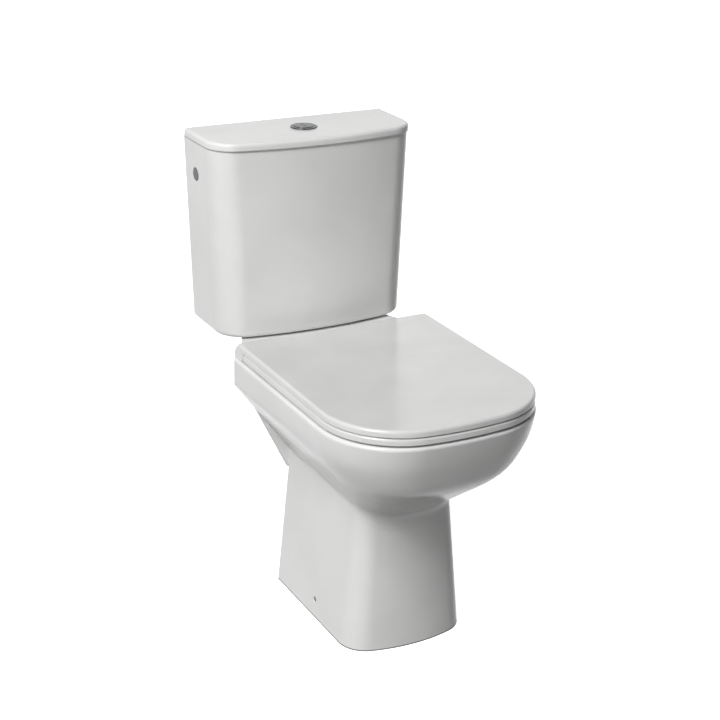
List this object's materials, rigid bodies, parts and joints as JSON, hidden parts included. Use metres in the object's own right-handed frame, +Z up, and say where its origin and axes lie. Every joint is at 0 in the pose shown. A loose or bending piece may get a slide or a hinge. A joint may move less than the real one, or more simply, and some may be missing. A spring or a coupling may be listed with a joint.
{
  "type": "close coupled toilet",
  "caption": "Floor-standing close coupled toilet: china pan with horizontal outlet, cistern on its back, dual flush push button, hinged seat ring and lid.",
  "frame": {"origin": "on the floor, on the centre line, halfway along the foot", "axes": "+Z up, +Y back towards the wall, the bowl's front towards -Y, +X to the right of a person facing the toilet"},
  "size_m": [0.3878, 0.6358, 0.7653],
  "materials": {
    "white_china": "gloss",
    "seat_plastic": "gloss",
    "chrome_trim": "polished",
    "chromed_plastic": "gloss",
    "valve_plastic": "satin",
    "blue_plastic": "satin",
    "float_plastic": "satin",
    "black_rubber": "matte",
    "grey_rubber": "matte",
    "steel": "satin",
    "brass": "satin"
  },
  "bodies": {
    "pan": {"pan": "white_china", "bowl": "white_china", "throat": "white_china", "sump": "white_china", "trapway": "white_china", "cistern": "white_china", "flush_valve_body": "valve_plastic", "valve_washer": "black_rubber", "back_nut": "valve_plastic", "rocker_pins": "steel", "fill_valve_body": "valve_plastic", "fill_washer": "black_rubber", "fill_nut": "valve_plastic", "discharge_tube": "valve_plastic", "float_arm_pin": "steel", "side_plug": "chrome_trim", "plug_washer": "black_rubber", "plug_nut": "valve_plastic", "coupling_gasket": "black_rubber", "cistern_bolts": "brass", "bolt_seals": "black_rubber", "support_washers": "black_rubber", "bolt_washers": "steel", "wing_nuts": "brass", "hinge_posts": "chrome_trim", "hinge_pins": "steel", "hinge_washers": "black_rubber", "hinge_nuts": "valve_plastic", "floor_brackets": "valve_plastic", "side_screws": "chrome_trim", "floor_screws": "steel"},
    "cistern_lid": {"cistern_lid": "white_china", "button_bezel": "chromed_plastic", "button_nut": "valve_plastic"},
    "full_button": {"full_flush_button": "chromed_plastic", "full_push_rod": "blue_plastic"},
    "half_button": {"half_flush_button": "chromed_plastic", "half_push_rod": "blue_plastic"},
    "flush_tube": {"overflow_tube": "valve_plastic", "flush_seal": "black_rubber", "flush_float": "float_plastic", "lifting_yoke": "blue_plastic"},
    "half_collar": {"half_flush_collar": "blue_plastic"},
    "full_rocker": {"full_flush_rocker": "blue_plastic"},
    "half_rocker": {"half_flush_rocker": "blue_plastic"},
    "float_arm": {"float_arm": "blue_plastic", "fill_float": "float_plastic"},
    "seat_ring": {"seat_ring": "seat_plastic", "ring_bumpers": "grey_rubber"},
    "seat_lid": {"seat_lid": "seat_plastic", "lid_bumpers": "grey_rubber"}
  },
  "joints": [
    {"name": "seat_ring_hinge", "type": "hinge", "parent": "pan", "child": "seat_ring", "pos_m": [0, 0.1445, 0.434], "axis": [-1, 0, 0], "range_deg": [0, 94]},
    {"name": "seat_lid_hinge", "type": "hinge", "parent": "seat_ring", "child": "seat_lid", "pos_m": [0, 0.1445, 0.434], "axis": [1, 0, 0], "range_deg": [-94, 0]},
    {"name": "cistern_lid_lift", "type": "slide", "parent": "pan", "child": "cistern_lid", "axis": [0, 0, 1], "range_m": [0, 0.25]},
    {"name": "full_button_press", "type": "slide", "parent": "cistern_lid", "child": "full_button", "axis": [0, 0, -1], "range_m": [0, 0.008], "stiffness_N_per_m": 400, "springref_m": -0.008},
    {"name": "half_button_press", "type": "slide", "parent": "cistern_lid", "child": "half_button", "axis": [0, 0, -1], "range_m": [0, 0.008], "stiffness_N_per_m": 400, "springref_m": -0.008},
    {"name": "full_rocker_turn", "type": "hinge", "parent": "pan", "child": "full_rocker", "pos_m": [0.025, 0.27, 0.682], "axis": [0, -1, 0], "range_deg": [0, 32]},
    {"name": "half_rocker_turn", "type": "hinge", "parent": "pan", "child": "half_rocker", "pos_m": [-0.025, 0.27, 0.682], "axis": [0, 1, 0], "range_deg": [0, 32]},
    {"name": "flush_tube_lift", "type": "slide", "parent": "pan", "child": "flush_tube", "axis": [0, 0, 1], "range_m": [0, 0.0105]},
    {"name": "half_collar_lift", "type": "slide", "parent": "pan", "child": "half_collar", "axis": [0, 0, 1], "range_m": [0, 0.0105]},
    {"name": "float_arm_swing", "type": "hinge", "parent": "pan", "child": "float_arm", "pos_m": [0.138, 0.284, 0.693], "axis": [1, 0, 0], "range_deg": [0, 20]}
  ],
  "couplings": [
    {"joint": "full_rocker_turn", "follows": "full_button_press", "rad_per_m": 68.75},
    {"joint": "flush_tube_lift", "follows": "full_button_press", "ratio": 1.25},
    {"joint": "half_rocker_turn", "follows": "half_button_press", "rad_per_m": 68.75},
    {"joint": "half_collar_lift", "follows": "half_button_press", "ratio": 1.25}
  ]
}
